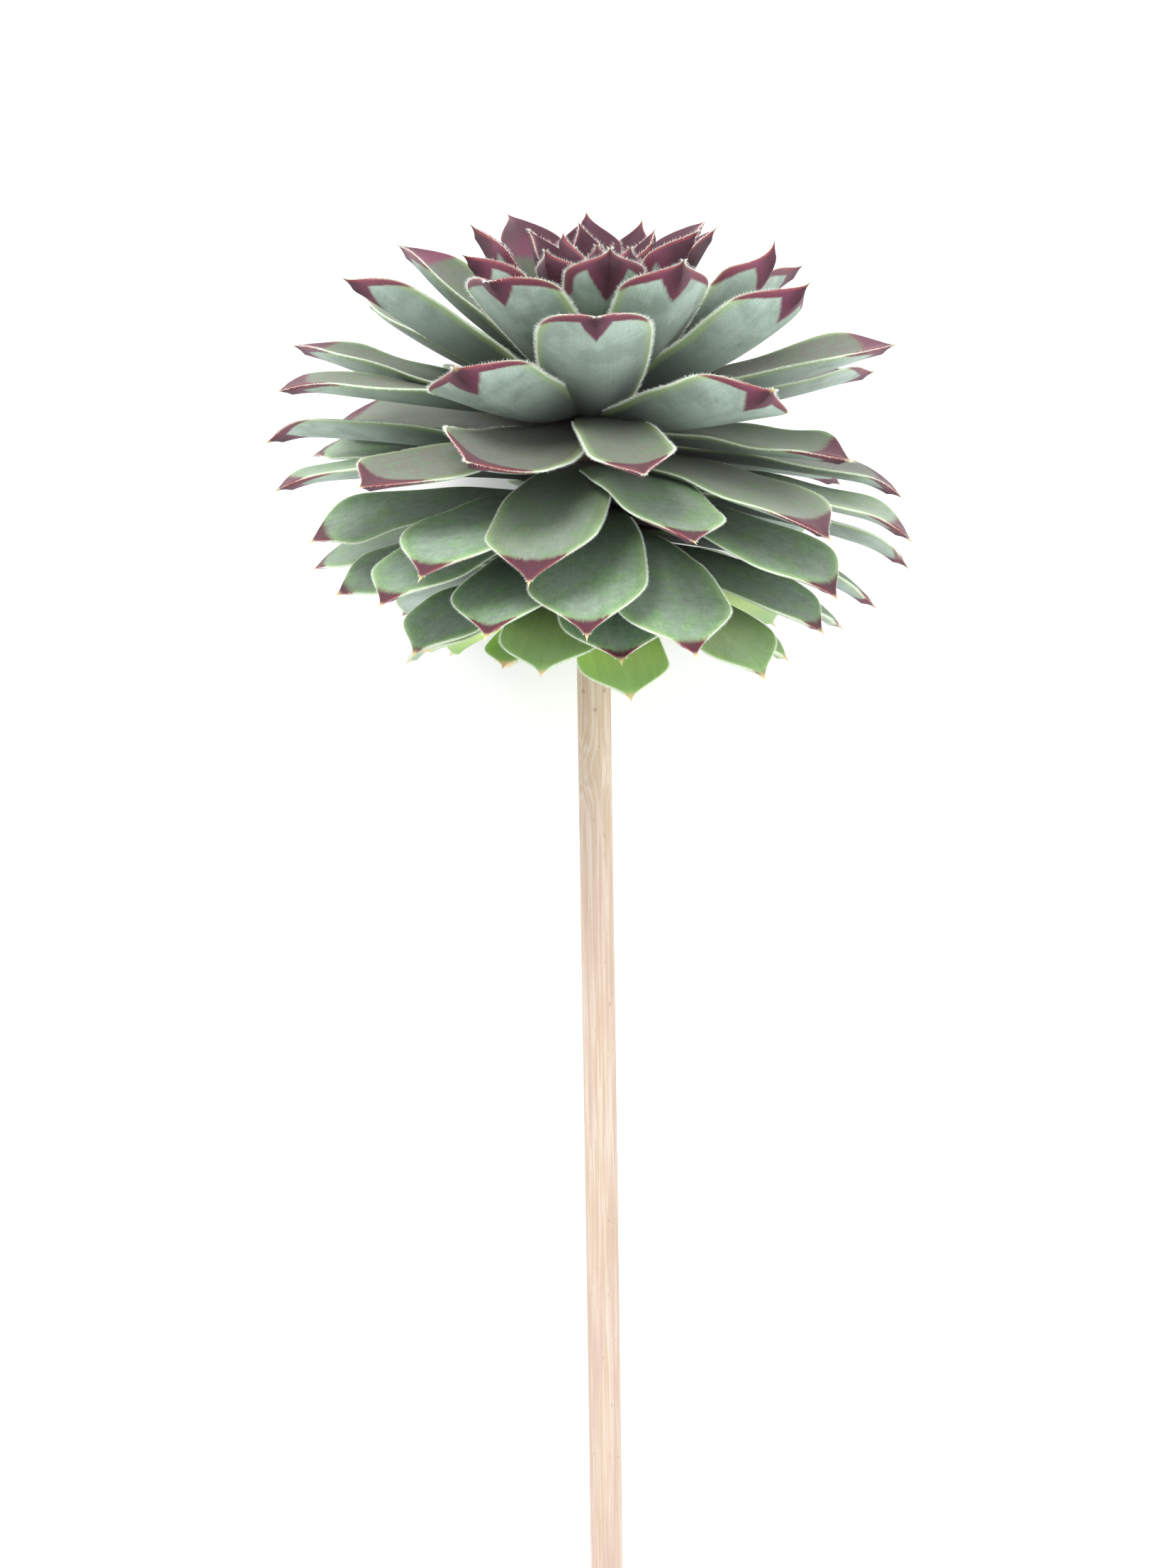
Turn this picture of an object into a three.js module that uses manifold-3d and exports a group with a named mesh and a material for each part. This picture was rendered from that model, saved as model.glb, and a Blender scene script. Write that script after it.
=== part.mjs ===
// Hens and chicks: a houseleek rosette cut from its roots and pushed onto a wooden stick, lying on
// a flat surface on its own lowest points. Millimetres and degrees, +Z up.
//
// The plant has a frame of its own, the group "plant": its axis is +Z, from the stick to the crown,
// its foot, where the stick comes out of the rosette, is the origin, and its front is -Y. The whole
// plant is then laid on its back, so that its front faces up, its stick rests on the far rim of its
// cut end and its hind leaves rest on their tips.
//
// The leaves are numbered in the order that they grew, backwards: 0 is at the growing tip, and the
// last is the oldest, at the foot. Each stands a golden angle on from the one before it. Leaves 0 to
// YOUNG - 1 are the heart, one piece with the growing tip. The oldest are one piece with the stem.
// Each leaf between them is a piece of its own, seated on the stem.
import * as THREE from "three";
import { mergeVertices } from "three/addons/utils/BufferGeometryUtils.js";
import Module from "manifold-3d";

const wasm = await Module();
wasm.setup();

const { degToRad, lerp, smoothstep } = THREE.MathUtils;

// ---------------------------------------------------------------- driving dimensions

const GAP = 0.3; // clearance between neighbouring pieces
const STICK = { radius: 2.5, belowFoot: 280, inStem: 26, point: 5, sides: 16 };
const STEM = { foot: 0.5, top: 39.5, radius: 6.3, sides: 20 };
// The heart stands a little aside of the axis, and the leaves of STRAIGHTENS lead back to it.
const HEART = { foot: STEM.top + GAP, top: 49, radius: 4.2, sides: 14, aside: 2.5 };
const STRAIGHTENS = [12, 26];
const REST = { radius: 44, height: 24, press: 0.8 }; // where the hind tips meet the surface

const LEAVES = 101;
const YOUNG = 28; // leaves in the heart
const OLD = 85; // first of the leaves that are one piece with the stem
const DARKER = 45; // first of the leaves that show their darker upper side
const TURN = -137.78; // degrees from a leaf to the next one down, close to the golden angle
const FRONT = { leaf: 36, azimuth: 3 }; // this leaf stands at the front, that far to the right
// Grown leaves hang lower on one side and higher opposite: most from leaf 48 to leaf 64.
const SAG = { azimuth: 75, most: 7, starts: [38, 48], ends: [64, 84] };
// The most that chance adds or takes. Only grown leaves vary in rise, length and roll.
const LOOSE = { turn: 1.5, rise: 2, length: 0.04, roll: 6, hook: 0.4, starts: [28, 48] };

// How the leaves change with age, as [leaf, value] points with straight lines between them.
// rootRadius and rootHeight place the middle of the leaf's root, inside the stem. rise is the leaf's
// mean angle above the horizontal, and arch is how much it turns down on its way. cup is how far
// its edges stand above its middle, and hook is how far its tip turns down. The higher shoulders
// is, the closer to its tip the leaf stays broad.
const AGES = {
  length: [
    [0, 6], [12, 17], [24, 28], [30, 34.5], [38, 42], [50, 44.5], [70, 44], [75, 42.5], [80, 39],
    [95, 26], [100, 20],
  ],
  width: [[0, 2], [12, 5.8], [24, 11.8], [36, 16], [44, 16.5], [75, 16.5], [90, 15], [100, 12]],
  shoulders: [[0, 1.6], [20, 1.8], [28, 2.4], [36, 3], [100, 3]],
  thickness: [[0, 1.2], [28, 2.2], [38, 2.4], [60, 2.4], [100, 1.8]],
  rootRadius: [[0, 0.4], [6, 1.4], [20, 2.6], [28, 3.2], [36, 4.4], [42, 4.8], [95, 4.8], [100, 4.4]],
  rootHeight: [
    [0, 47.5], [12, 44.5], [24, 41.5], [28, 40], [36, 36.6], [50, 30.2], [70, 20.5], [90, 9.3],
    [100, 4],
  ],
  rise: [
    [0, 88], [6, 82], [12, 71], [20, 57], [28, 37], [36, 19], [38, 12], [42, 8], [50, 1.5], [60, -5],
    [70, -12], [80, -17], [90, -20], [100, -26],
  ],
  arch: [[0, 0], [12, -24], [27, -24], [34, -18], [42, -12], [50, 8], [60, 16], [90, 24], [100, 24]],
  cup: [
    [0, 0.5], [12, 1.6], [20, 2.2], [28, 2.5], [36, 2.3], [44, 1.5], [50, 0.9], [70, 0.6], [100, 0.6],
  ],
  hook: [
    [0, 0], [8, 10], [16, 28], [24, 28], [32, 16], [36, 10], [42, 12], [47, 24], [55, 30], [62, 22],
    [75, 16], [100, 12],
  ],
};

// What single leaves do that their age doesn't say: turn, rise, arch, roll and hook are added in
// degrees, root, aside and cup in millimetres, and length and width are shares. root moves the
// leaf's root up, and aside moves it to the right.
const QUIRKS = {
  7: { turn: 9, rise: -5 },
  9: { rise: -11, length: 1.22 },
  10: { turn: 7, rise: -6 },
  11: { turn: 8, rise: 4, length: 1.12 },
  12: { length: 0.92 },
  13: { rise: 6, length: 0.95, hook: -10 },
  14: { turn: -4, rise: -6, length: 1.12, hook: -14 },
  15: { turn: 8, rise: -2, length: 0.85, hook: -10 },
  16: { rise: -3 },
  17: { rise: -11, length: 1.1 },
  18: { turn: 1, rise: -6, length: 0.85, hook: -16 },
  19: { rise: 6, hook: -22 },
  20: { turn: 7, rise: -5 },
  22: { turn: -8, rise: -1, length: 1.04 },
  23: { turn: 12, rise: -12, length: 1.05, hook: -22 },
  24: { rise: 8 },
  25: { rise: -9.5, length: 1.12, arch: -32, roll: -26, hook: -50 },
  26: { rise: 4, length: 0.83 },
  28: { turn: -8, root: -2.5, aside: 3.2, rise: -2, length: 1.08, hook: -16 },
  29: { rise: 2, length: 1.03 },
  30: { rise: -4, length: 1.02, roll: -12 },
  31: { turn: 4, hook: 26 },
  33: { rise: 0.5, length: 1.02, arch: -26, width: 0.96, roll: -20 },
  34: { rise: 6, length: 0.96, roll: 14 },
  36: { turn: -2, root: -2.2, rise: 7.5, arch: -22, cup: 0.3, hook: 30 },
  37: { turn: 6, rise: 6, length: 1.02 },
  38: { rise: -0.5, roll: 10 },
  39: { turn: 23, rise: 2.5, length: 0.88, arch: -24, roll: 22, hook: -5 },
  41: { turn: -2, rise: -1, arch: -14, roll: -32, hook: -10 },
  42: { rise: 6, length: 1.03 },
  43: { turn: -6, rise: 5 },
  44: { turn: -2, rise: -9, arch: -12, roll: -24, hook: -12 },
  46: { rise: -4, length: 0.87, width: 0.9, roll: 6, hook: -10 },
  47: { root: 3, rise: -2, length: 0.95 },
  49: { turn: -5, root: 3, rise: -7, width: 0.72, hook: -20 },
  50: { rise: -5, length: 0.98, roll: -26 },
  51: { rise: -5, length: 1.01, roll: 10 },
  52: { rise: -8, roll: -14, hook: -16 },
  54: { turn: 4, rise: -7 },
  55: { rise: -1, roll: 14 },
  57: { rise: -13, width: 0.95, hook: -10 },
  59: { rise: -2, length: 1.01, roll: 6 },
  60: { rise: 1, length: 1.02, roll: 6 },
  62: { turn: -5, root: 2, rise: -2, width: 0.92, roll: -5, hook: -14 },
  63: { rise: 3, length: 1.02, roll: -14 },
  64: { rise: -4, length: 1.08 },
  65: { turn: 2, rise: -5, roll: -8 },
  67: { turn: -3, rise: -2 },
  68: { rise: -5, length: 0.86, roll: -30 },
  70: { rise: -3 },
  72: { rise: -3, length: 0.93 },
  73: { turn: 14, rise: -2, length: 0.94 },
  75: { turn: -11, rise: -3 },
  76: { rise: 2, roll: -20 },
  78: { turn: 2, rise: 2 },
  80: { rise: 1, length: 0.96 },
  81: { rise: 7, length: 0.9, roll: -20 },
  83: { turn: -2, rise: -2 },
  88: { turn: 7, rise: -4 },
  89: { rise: -8, length: 0.92 },
  91: { turn: 3, rise: 4, length: 1.06 },
  94: { rise: 6, length: 0.9 },
  96: { turn: -5, rise: -4, length: 1.1 },
  99: { rise: 6, length: 0.85 },
};

const NO_QUIRK = {
  turn: 0,
  root: 0,
  aside: 0,
  rise: 0,
  length: 1,
  width: 1,
  arch: 0,
  cup: 0,
  roll: 0,
  hook: 0,
};

// A leaf's outline and section. Width is as a share of the widest, length from 0 at the root to 1.
const ROOT_WIDTH = 0.42;
const WIDEST_AT = 0.7;
const WIDENS = 0.7; // the lower, the sooner it is nearly at its widest
const PINCH = 3; // the higher, the finer the point
const RIM = 0.6; // thickness at the edge
const ABOVE = 0.25; // share of the thickness above the leaf's middle surface
const THINS = { from: 0.35, power: 1.2 }; // how the flesh thins towards the tip
const CUPPED_BY = 0.4; // the edges have risen to their full height here
const HOOK_FROM = 0.74; // the tip starts to turn down here
const STATIONS = [0, 0.2, 0.42, 0.7, 0.8, 0.86, 0.91, 0.955];
// The corners of a section, as [across from -1 to 1, upper side 1 or underside -1].
const SECTION = [[-1, 1], [0, 1], [1, 1], [1, -1], [0, -1], [-1, -1]];
const STEPS = 24; // along a leaf, to add up its bend
const SLAB = { side: 900, depth: 20 }; // stands for the surface, to cut the lowest points flat

const COLOURS = { stick: 0xd9c3a5, heart: 0x6e2438, young: 0x8fae96, grown: 0x6f8f78, old: 0x5f8f58 };
const ROUGHNESS = { wood: 0.8, leaf: 0.6 };

// ---------------------------------------------------------------- how the plant lies

// The surface passes under the stick's cut end and under the hind leaves at REST.
const tilt = Math.atan((REST.radius - STICK.radius) / (STICK.belowFoot + REST.height));
const lift = STICK.belowFoot * Math.sin(tilt) + STICK.radius * Math.cos(tilt);

/** Height of a point of the plant above the surface that it lies on. */
function heightAboveSurface({ y, z }) {
  return z * Math.sin(tilt) - y * Math.cos(tilt) + lift;
}

// ---------------------------------------------------------------- the rule for a leaf

/** A value of AGES at a leaf. */
function atAge(name, leaf) {
  const points = AGES[name];
  const next = Math.max(1, points.findIndex(([given]) => given >= leaf));
  const [[before, from], [after, to]] = [points[next - 1], points[next]];
  return lerp(from, to, (leaf - before) / (after - before));
}

/** A repeatable draw from -1 to 1 for a leaf. */
function draw(leaf, salt) {
  const value = Math.sin(leaf * 12.9898 + salt * 78.233) * 43758.5453;
  return 2 * (value - Math.floor(value)) - 1;
}

/** How much lower a leaf hangs than others of its age, for the plant is heavier on one side. */
function sag(leaf, azimuth) {
  const grown = smoothstep(leaf, ...SAG.starts) * (1 - smoothstep(leaf, ...SAG.ends));
  return SAG.most * grown * Math.cos(degToRad(azimuth - SAG.azimuth));
}

/** All that says where a leaf stands and what shape it has. */
function leafRule(leaf) {
  const quirk = { ...NO_QUIRK, ...QUIRKS[leaf] };
  const loose = smoothstep(leaf, ...LOOSE.starts);
  const place = FRONT.azimuth + (leaf - FRONT.leaf) * TURN;
  const azimuth = place + quirk.turn + LOOSE.turn * draw(leaf, 1);
  return {
    azimuth,
    aside: HEART.aside * (1 - smoothstep(leaf, ...STRAIGHTENS)) + quirk.aside,
    rootRadius: atAge("rootRadius", leaf),
    rootHeight: atAge("rootHeight", leaf) + quirk.root,
    length: atAge("length", leaf) * quirk.length * (1 + LOOSE.length * loose * draw(leaf, 2)),
    width: atAge("width", leaf) * quirk.width,
    shoulders: atAge("shoulders", leaf),
    thickness: atAge("thickness", leaf),
    rise: atAge("rise", leaf) + quirk.rise + LOOSE.rise * loose * draw(leaf, 3) - sag(leaf, azimuth),
    arch: atAge("arch", leaf) + quirk.arch,
    cup: atAge("cup", leaf) + quirk.cup,
    hook: atAge("hook", leaf) * (1 + LOOSE.hook * draw(leaf, 4)) + quirk.hook,
    roll: quirk.roll + LOOSE.roll * loose * draw(leaf, 5),
  };
}

/** Half a leaf's width at a share of its length: it widens from the root, then runs to a point. */
function outline(along, shoulders) {
  if (along < WIDEST_AT) {
    return lerp(ROOT_WIDTH, 1, Math.sin((Math.PI / 2) * (along / WIDEST_AT)) ** WIDENS);
  }
  const past = (along - WIDEST_AT) / (1 - WIDEST_AT);
  return (1 - past ** shoulders) ** PINCH;
}

/** The middle line of a leaf: at each step a point and the directions along, across and above. */
function middleLine(rule) {
  const azimuth = degToRad(rule.azimuth);
  const outward = new THREE.Vector3(Math.sin(azimuth), -Math.cos(azimuth), 0);
  const up = new THREE.Vector3(0, 0, 1);
  const side = new THREE.Vector3().crossVectors(up, outward);
  const point = outward.clone().multiplyScalar(rule.rootRadius).addScaledVector(up, rule.rootHeight);
  point.x += rule.aside;
  const line = [];
  for (let step = 0; step <= STEPS; step++) {
    const along = step / STEPS;
    const bend = rule.arch * (0.5 - along) - rule.hook * smoothstep(along, HOOK_FROM, 1);
    const angle = degToRad(rule.rise + bend);
    const forward = outward.clone().multiplyScalar(Math.cos(angle)).addScaledVector(up, Math.sin(angle));
    const roll = degToRad(rule.roll) * along;
    const across = side.clone().applyAxisAngle(forward, roll);
    const above = new THREE.Vector3().crossVectors(forward, across);
    line.push({ point: point.clone(), forward, across, above });
    point.addScaledVector(forward, rule.length / STEPS);
  }
  return line;
}

/** The corners of a leaf's sections, from the root out, and its tip. grow fattens it all round. */
function leafSections(rule, grow) {
  const line = middleLine(rule);
  const sections = STATIONS.map((along) => {
    const at = along * STEPS;
    const from = line[Math.floor(at)];
    const to = line[Math.min(STEPS, Math.floor(at) + 1)];
    const mix = (name) => from[name].clone().lerp(to[name], at - Math.floor(at));
    const [point, across, above] = [mix("point"), mix("across"), mix("above")];
    const share = outline(along, rule.shoulders);
    const half = (share * rule.width) / 2;
    const cup = rule.cup * share * smoothstep(along, 0, CUPPED_BY);
    const thin = Math.max(0, along - THINS.from) ** THINS.power;
    const thickness = lerp(rule.thickness, RIM, thin);
    return SECTION.map(([sideways, facing]) => {
      const flesh = facing > 0 ? ABOVE * thickness : (1 - ABOVE) * thickness;
      const depth = facing * ((sideways === 0 ? flesh : RIM / 2) + grow);
      return point
        .clone()
        .addScaledVector(across, sideways * (half + grow))
        .addScaledVector(above, cup * sideways ** 2 + depth);
    });
  });
  const end = line[STEPS];
  return { sections, tip: end.point.clone().addScaledVector(end.forward, grow) };
}

/** The closed body of a leaf as a geometry. */
function leafGeometry(rule, grow = 0) {
  const { sections, tip } = leafSections(rule, grow);
  const corners = SECTION.length;
  const tipIndex = sections.length * corners;
  const index = [];
  sections.forEach((_, ring) => {
    const here = ring * corners;
    const next = here + corners;
    for (let corner = 0; corner < corners; corner++) {
      const other = (corner + 1) % corners;
      if (ring === sections.length - 1) {
        index.push(here + corner, tipIndex, here + other);
      } else {
        index.push(here + corner, next + corner, next + other);
        index.push(here + corner, next + other, here + other);
      }
    }
  });
  for (let corner = 1; corner < corners - 1; corner++) {
    index.push(0, corner, corner + 1);
  }
  return new THREE.BufferGeometry().setFromPoints([...sections.flat(), tip]).setIndex(index);
}

/** A leaf's rule, shorter where it lies underneath, so that its tip only rests on the surface. */
function restedRule(leaf) {
  const rule = leafRule(leaf);
  const lowest = () => {
    const { sections, tip } = leafSections(rule, 0);
    return Math.min(...[...sections.flat(), tip].map(heightAboveSurface));
  };
  while (lowest() < -REST.press) {
    rule.length -= 0.05;
  }
  return rule;
}

// ---------------------------------------------------------------- solids

/** A closed geometry as a solid that can be cut and joined. */
function solidOf(geometry) {
  const bare = geometry.clone();
  bare.deleteAttribute("normal");
  bare.deleteAttribute("uv");
  const merged = mergeVertices(bare, 1e-4);
  return new wasm.Manifold(
    new wasm.Mesh({
      numProp: 3,
      vertProperties: merged.attributes.position.array,
      triVerts: new Uint32Array(merged.index.array),
    }),
  );
}

/** A solid back as a geometry. */
function geometryOf(solid) {
  const { vertProperties, triVerts } = solid.getMesh();
  const geometry = new THREE.BufferGeometry();
  geometry.setAttribute("position", new THREE.BufferAttribute(vertProperties, 3));
  geometry.setIndex(new THREE.BufferAttribute(triVerts, 1));
  geometry.computeVertexNormals();
  return geometry;
}

/** The largest body of a solid, without the scraps that a cut leaves. */
function largestBody(solid) {
  return solid.decompose().reduce((best, body) => (body.volume() > best.volume() ? body : best));
}

/** Whether two solids could touch, from their boxes. */
function boxesMeet(one, other) {
  const [a, b] = [one.boundingBox(), other.boundingBox()];
  return [0, 1, 2].every((axis) => a.min[axis] < b.max[axis] && b.min[axis] < a.max[axis]);
}

/** A solid less all of the tools that reach it. */
function cutBy(solid, tools) {
  const near = tools.filter((tool) => boxesMeet(solid, tool));
  return near.reduce((rest, tool) => rest.subtract(tool), solid);
}

/** A solid turned about the plant's axis, from [radius, height] pairs, fattened by grow. */
function turned(profile, sides, grow = 0) {
  const points = profile.map(([radius, height]) => {
    return new THREE.Vector2(radius === 0 ? 0 : radius + grow, height);
  });
  points[0].y -= grow;
  points[1].y -= grow;
  points.at(-1).y += grow;
  return solidOf(new THREE.LatheGeometry(points, sides).rotateX(Math.PI / 2));
}

const stickProfile = [
  [0, -STICK.belowFoot],
  [STICK.radius, -STICK.belowFoot],
  [STICK.radius, STICK.inStem - STICK.point],
  [STICK.radius * 0.3, STICK.inStem],
  [0, STICK.inStem],
];
const stemProfile = [
  [0, STEM.foot],
  [STEM.radius * 0.7, STEM.foot],
  [STEM.radius * 0.9, STEM.foot + 3],
  [STEM.radius, STEM.foot + 8],
  [STEM.radius, STEM.top - 9],
  [STEM.radius * 0.85, STEM.top - 4],
  [STEM.radius * 0.65, STEM.top],
  [0, STEM.top],
];
const heartProfile = [
  [0, HEART.foot],
  [HEART.radius, HEART.foot],
  [HEART.radius * 0.9, lerp(HEART.foot, HEART.top, 0.35)],
  [HEART.radius * 0.6, lerp(HEART.foot, HEART.top, 0.75)],
  [0, HEART.top],
];

// ---------------------------------------------------------------- the plant

const plant = new THREE.Group();
plant.rotation.x = tilt - Math.PI / 2;
plant.position.z = lift;
plant.updateMatrixWorld(true);

/** Adds a solid to the plant as a named mesh. */
function addPiece(name, solid, color, roughness) {
  const material = new THREE.MeshStandardMaterial({ color, roughness, metalness: 0 });
  const mesh = new THREE.Mesh(geometryOf(largestBody(solid)), material);
  mesh.name = name;
  plant.add(mesh);
}

const slab = new THREE.BoxGeometry(SLAB.side, SLAB.side, SLAB.depth).translate(0, 0, -SLAB.depth / 2);
const surface = solidOf(slab.applyMatrix4(plant.matrixWorld.clone().invert()));
const stickRoom = turned(stickProfile, STICK.sides, GAP);
const stemRoom = turned(stemProfile, STEM.sides, GAP);
const heartRoom = turned(heartProfile, HEART.sides, GAP).translate(HEART.aside, 0, 0);

const leaves = Array.from({ length: LEAVES }, (_, leaf) => leaf);
const rules = leaves.map(restedRule);
const leafBodies = rules.map((rule) => solidOf(leafGeometry(rule)));
const leafRooms = rules.map((rule) => solidOf(leafGeometry(rule, GAP)));

/** A leaf cut clear of the first leaves up to a number and of other pieces. */
function clearLeaf(leaf, upTo, others) {
  return largestBody(cutBy(leafBodies[leaf], [...leafRooms.slice(0, upTo), ...others, surface]));
}

addPiece("stick", cutBy(turned(stickProfile, STICK.sides), [surface]), COLOURS.stick, ROUGHNESS.wood);

const oldLeaves = leaves.slice(OLD).map((leaf) => clearLeaf(leaf, OLD, []));
const bareStem = turned(stemProfile, STEM.sides);
const stem = wasm.Manifold.union([bareStem, ...oldLeaves]).subtract(stickRoom);
addPiece("stem_with_old_leaves", stem, COLOURS.old, ROUGHNESS.leaf);

for (const leaf of leaves.slice(YOUNG, OLD)) {
  const color = leaf < DARKER ? COLOURS.young : COLOURS.grown;
  addPiece(`leaf_${leaf}`, clearLeaf(leaf, leaf, [stemRoom, heartRoom]), color, ROUGHNESS.leaf);
}

const youngLeaves = leaves.slice(0, YOUNG).map((leaf) => clearLeaf(leaf, 0, [stemRoom]));
const growingTip = turned(heartProfile, HEART.sides).translate(HEART.aside, 0, 0);
const heart = wasm.Manifold.union([growingTip, ...youngLeaves]);
addPiece("heart_of_young_leaves", heart, COLOURS.heart, ROUGHNESS.leaf);

// The origin is on the surface, under the middle of the whole plant.
const middle = new THREE.Box3().setFromObject(plant, true).getCenter(new THREE.Vector3());
plant.position.x -= middle.x;
plant.position.y -= middle.y;

const part = new THREE.Group();
part.add(plant);

export default part;
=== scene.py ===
"""Hens and chicks: a houseleek rosette pushed onto a wooden stick, lying on a pale floor.

The plant has a frame of its own, in millimetres: its axis is +Z, from the stick to the crown, the
origin is its foot, where the stick comes out, and its front is -Y. Leaves are made there, by the
rule that the solids follow too, and are then laid down into the row frame, in metres. Leaf 0 is the
youngest, at the growing tip, and the last leaf is the oldest, at the foot.
"""

import logging
import math
from dataclasses import dataclass, replace
from enum import Enum

import bpy
import numpy as np
from mathutils import Matrix, Vector

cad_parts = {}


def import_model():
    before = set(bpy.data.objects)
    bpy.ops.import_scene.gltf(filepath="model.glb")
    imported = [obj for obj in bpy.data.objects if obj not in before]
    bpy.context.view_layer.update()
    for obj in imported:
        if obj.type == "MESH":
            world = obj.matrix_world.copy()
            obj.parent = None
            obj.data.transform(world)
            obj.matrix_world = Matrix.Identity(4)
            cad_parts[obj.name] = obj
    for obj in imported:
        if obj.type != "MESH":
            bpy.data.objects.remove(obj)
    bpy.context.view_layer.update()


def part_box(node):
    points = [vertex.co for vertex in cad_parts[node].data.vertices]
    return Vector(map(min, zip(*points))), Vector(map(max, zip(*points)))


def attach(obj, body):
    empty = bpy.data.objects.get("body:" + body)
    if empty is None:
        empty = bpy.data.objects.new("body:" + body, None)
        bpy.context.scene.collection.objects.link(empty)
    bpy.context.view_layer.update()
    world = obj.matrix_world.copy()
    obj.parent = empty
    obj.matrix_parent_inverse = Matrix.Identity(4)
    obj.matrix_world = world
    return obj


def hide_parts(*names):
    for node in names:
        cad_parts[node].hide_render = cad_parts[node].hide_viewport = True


LOG = logging.getLogger("rosette")
MM = 0.001
ROOT = "root"

Array = np.ndarray
Point = tuple[float, float, float]
Colour = tuple[float, float, float, float]
Pair = tuple[float, float]
Curve = tuple[Pair, ...]
Mesh = bpy.types.Mesh
Thing = bpy.types.Object
Material = bpy.types.Material
Socket = bpy.types.NodeSocket


# ---- small helpers


def smoothstep(value: Array | float, low: float, high: float) -> Array | float:
    """A smooth rise from 0 at low to 1 at high."""
    share = np.clip((value - low) / (high - low), 0.0, 1.0)
    return share * share * (3.0 - 2.0 * share)


def linear(hex_colour: str) -> Colour:
    """A screen colour, such as "8fae96", as a linear colour for a shader."""
    parts = [int(hex_colour[i:i + 2], 16) / 255.0 for i in (0, 2, 4)]
    lit = [c / 12.92 if c <= 0.04045 else ((c + 0.055) / 1.055) ** 2.4 for c in parts]
    return (lit[0], lit[1], lit[2], 1.0)


def deselect_all() -> None:
    """Selects nothing, so that the next operator acts on its own piece alone."""
    for thing in bpy.context.selected_objects:
        thing.select_set(False)


def draw(leaf: int, salt: int) -> float:
    """A repeatable draw from -1 to 1 for a leaf, the same that the solids use."""
    value = math.sin(leaf * 12.9898 + salt * 78.233) * 43758.5453
    return 2.0 * (value - math.floor(value)) - 1.0


def join(pieces: list[Thing]) -> None:
    """Joins several pieces into the first of them."""
    deselect_all()
    for piece in pieces:
        piece.select_set(True)
    bpy.context.view_layer.objects.active = pieces[0]
    bpy.ops.object.join()


def add(name: str, data: bpy.types.ID) -> Thing:
    """Adds a mesh, a light or a camera to the scene."""
    added = bpy.data.objects.new(name, data)
    bpy.context.scene.collection.objects.link(added)
    return added


def unit(rows: Array) -> Array:
    """Rows scaled to a length of 1."""
    return rows / np.linalg.norm(rows, axis=1)[:, None]


def read_points(mesh: Mesh) -> Array:
    """The vertices of a mesh as an array of rows."""
    flat = np.empty(len(mesh.vertices) * 3)
    mesh.vertices.foreach_get("co", flat)
    return flat.reshape(-1, 3)


def write_points(mesh: Mesh, points: Array) -> None:
    """Moves the vertices of a mesh to new places."""
    mesh.vertices.foreach_set("co", points.ravel())
    mesh.update()


def ball(name: str, sides: int, rings: int) -> tuple[Thing, Array, Array]:
    """Adds a closed ball, to be drawn out into another shape.

    Args:
        name: Its name.
        sides: The number of faces round its axis.
        rings: The number of faces from pole to pole.

    Returns:
        The ball, and of each vertex its turn round the axis, in radians, and its climb from the
        lower pole, 0, to the upper, 1.
    """
    deselect_all()
    bpy.ops.mesh.primitive_uv_sphere_add(segments=sides, ring_count=rings)
    made = bpy.context.active_object
    made.name = made.data.name = name
    x, y, z = read_points(made.data).T
    return made, np.arctan2(y, x), np.arccos(np.clip(-z, -1.0, 1.0)) / math.pi


# ---- how the plant lies


@dataclass(frozen=True)
class LaidDown:
    """Turns the plant's own frame, in millimetres, into the row frame, in metres."""

    stick_radius: float = 2.5
    stick_below_foot: float = 280.0
    rest_radius: float = 44.0
    rest_height: float = 24.0

    @property
    def tilt(self) -> float:
        """The angle between the stick and the floor, in radians."""
        rise = self.rest_radius - self.stick_radius
        return math.atan(rise / (self.stick_below_foot + self.rest_height))

    @property
    def lift(self) -> float:
        """Height of the plant's foot above the floor, in millimetres."""
        down = self.stick_below_foot * math.sin(self.tilt)
        return down + self.stick_radius * math.cos(self.tilt)

    @property
    def foot(self) -> Vector:
        """The plant's foot in the row frame, found from the box of the stick's solid."""
        low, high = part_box("stick")
        end = self.stick_below_foot * math.cos(self.tilt) + self.stick_radius * math.sin(self.tilt)
        return Vector(((low.x + high.x) / 2.0, low.y + end * MM, self.lift * MM))

    def heights(self, points: Array) -> Array:
        """Heights of points of the plant above the floor, in millimetres."""
        return points[:, 2] * math.sin(self.tilt) - points[:, 1] * math.cos(self.tilt) + self.lift

    def place(self, points: Array) -> Array:
        """Points of the plant in the row frame, and none of them below the floor."""
        sine, cosine = math.sin(self.tilt), math.cos(self.tilt)
        foot = self.foot
        x, y, z = points.T
        height = (z * sine - y * cosine) * MM + foot.z
        return np.column_stack([
            x * MM + foot.x, (y * sine + z * cosine) * MM + foot.y, np.maximum(height, 0.0)])


# ---- finishes


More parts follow.
